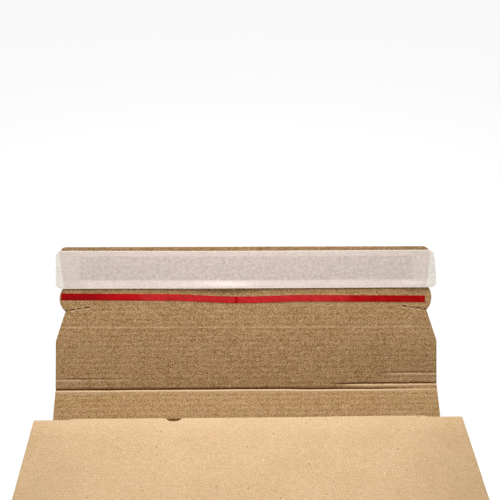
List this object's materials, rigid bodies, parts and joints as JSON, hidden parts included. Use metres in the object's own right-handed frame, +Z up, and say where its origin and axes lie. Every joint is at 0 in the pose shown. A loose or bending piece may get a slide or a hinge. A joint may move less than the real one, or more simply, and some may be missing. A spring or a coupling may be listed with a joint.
{
  "type": "corrugated mailer box",
  "caption": "Shallow corrugated mailer box with its rear wall and lid leaning back open, a red tear strip between half-round tabs, and an adhesive strip under a release liner.",
  "frame": {"origin": "centre of the underside of the box, on the surface that it stands on", "axes": "+X to the right along the width, +Y to the back, where the box opens and the lid leans, +Z up"},
  "size_m": [0.25, 0.2737, 0.1063],
  "materials": {
    "board_outside": "matt light kraft paper with fine fibres and dark specks",
    "board_inside": "matt dark kraft paper with the flutes showing as fine lines",
    "tear_tape": "smooth red film",
    "adhesive": "tacky pale film",
    "liner_paper": "thin translucent silicone-coated paper"
  },
  "bodies": {
    "box": {"box_body": "board_outside"},
    "wall": {"rear_wall": "board_inside"},
    "flap": {"lid": "board_inside", "tear_strip": "tear_tape", "adhesive_strip": "adhesive", "release_liner": "liner_paper"}
  },
  "joints": [
    {"name": "rear_fold", "type": "hinge", "parent": "box", "child": "wall", "pos_m": [0, 0.084, 0.001], "axis": [-1, 0, 0], "range_deg": [-59, 31]},
    {"name": "lid_fold", "type": "hinge", "parent": "wall", "child": "flap", "pos_m": [0, 0.13294, 0.03041], "axis": [-1, 0, 0], "range_deg": [-67, 38]}
  ]
}
